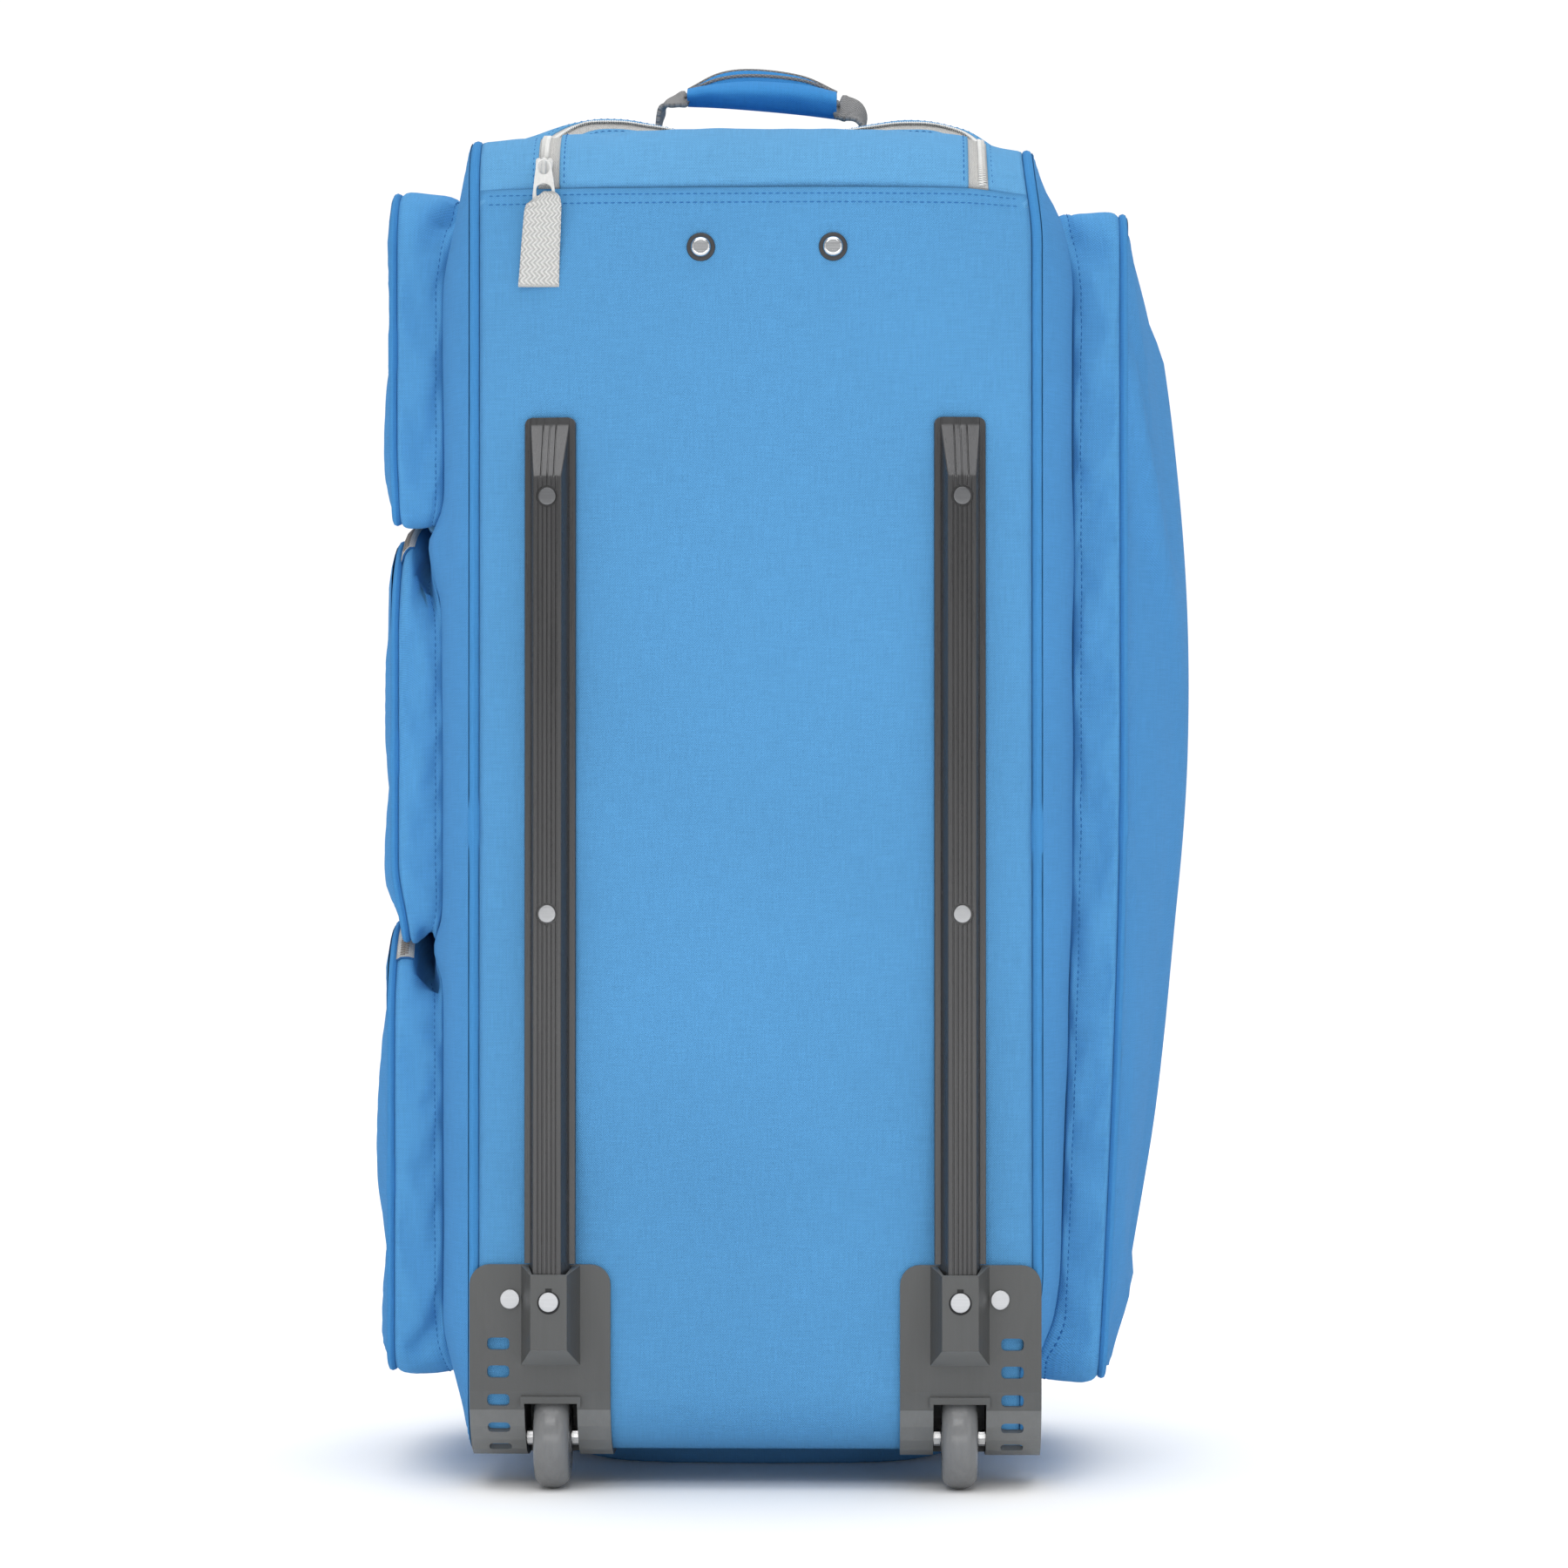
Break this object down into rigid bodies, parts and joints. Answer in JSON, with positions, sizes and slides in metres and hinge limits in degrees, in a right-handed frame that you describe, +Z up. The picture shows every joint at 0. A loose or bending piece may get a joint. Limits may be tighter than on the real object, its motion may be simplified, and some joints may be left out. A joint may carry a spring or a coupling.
{
  "type": "wheeled duffel bag",
  "caption": "Upright wheeled duffel bag with piped cloth panels, zipped side pockets, a padded grab handle, plastic base runners and inset wheels",
  "frame": {"origin": "on the floor under the middle of the bounding box of the bag standing on its wheel end", "axes": "+Z up along the bag from the wheel end to the handle end, -Y out of the base that carries the runners, +X to the right of a viewer facing the base"},
  "size_m": [0.4632, 0.37, 0.8131],
  "materials": {
    "blue_cloth": "fine woven polyester, matt with a slight sheen",
    "blue_piping": "cloth-covered cord",
    "zip_tape": "pale grey woven zip tape and coil",
    "grey_webbing": "pale grey webbing",
    "rail_plastic": "finely ribbed dark grey moulding",
    "housing_plastic": "satin grey moulding",
    "wheel_plastic": "smooth dark grey tread",
    "rivet_steel": "flat rivet heads",
    "axle_steel": "plain turned pin with a collar",
    "stud_chrome": "polished dome",
    "stud_washer": "dark washer",
    "pull_enamel": "pale enamel"
  },
  "bodies": {
    "bag": {"base_panel": "blue_cloth", "wheel_end_panel": "blue_cloth", "top_panel_left": "blue_cloth", "top_panel_right": "blue_cloth", "main_zip": "zip_tape", "head_end_panel": "blue_cloth", "head_flap": "blue_cloth", "head_zip": "zip_tape", "side_panel_left": "blue_cloth", "body_piping_left": "blue_piping", "side_panel_right": "blue_cloth", "body_piping_right": "blue_piping", "pocket_left_upper_gusset": "blue_cloth", "pocket_left_upper_piping": "blue_piping", "pocket_left_upper_front": "blue_cloth", "pocket_left_middle_gusset": "blue_cloth", "pocket_left_middle_piping": "blue_piping", "pocket_left_middle_front": "blue_cloth", "pocket_left_middle_zip": "zip_tape", "pocket_left_lower_gusset": "blue_cloth", "pocket_left_lower_piping": "blue_piping", "pocket_left_lower_front": "blue_cloth", "pocket_left_lower_zip": "zip_tape", "pocket_right_gusset": "blue_cloth", "pocket_right_piping": "blue_piping", "pocket_right_front": "blue_cloth", "rail_left": "rail_plastic", "rail_rivet_left_lower": "rivet_steel", "rail_rivet_left_upper": "rivet_steel", "wheel_housing_left": "housing_plastic", "housing_rivet_left_inner": "rivet_steel", "housing_rivet_left_outer": "rivet_steel", "axle_left": "axle_steel", "rail_right": "rail_plastic", "rail_rivet_right_lower": "rivet_steel", "rail_rivet_right_upper": "rivet_steel", "wheel_housing_right": "housing_plastic", "housing_rivet_right_inner": "rivet_steel", "housing_rivet_right_outer": "rivet_steel", "axle_right": "axle_steel", "stud_washer_left": "stud_washer", "stud_cap_left": "stud_chrome", "stud_washer_right": "stud_washer", "stud_cap_right": "stud_chrome", "handle_strap": "grey_webbing", "handle_grip": "blue_cloth", "zip_slider": "pull_enamel", "zip_pull": "pull_enamel", "pull_tab": "grey_webbing"},
    "wheel_left": {"wheel_left": "wheel_plastic"},
    "wheel_right": {"wheel_right": "wheel_plastic"}
  },
  "joints": [
    {"name": "wheel_left_spin", "type": "hinge", "parent": "bag", "child": "wheel_left", "pos_m": [-0.1254, -0.1442, 0.0285], "axis": [1, 0, 0], "continuous": true},
    {"name": "wheel_right_spin", "type": "hinge", "parent": "bag", "child": "wheel_right", "pos_m": [0.1006, -0.1442, 0.0285], "axis": [1, 0, 0], "continuous": true}
  ]
}
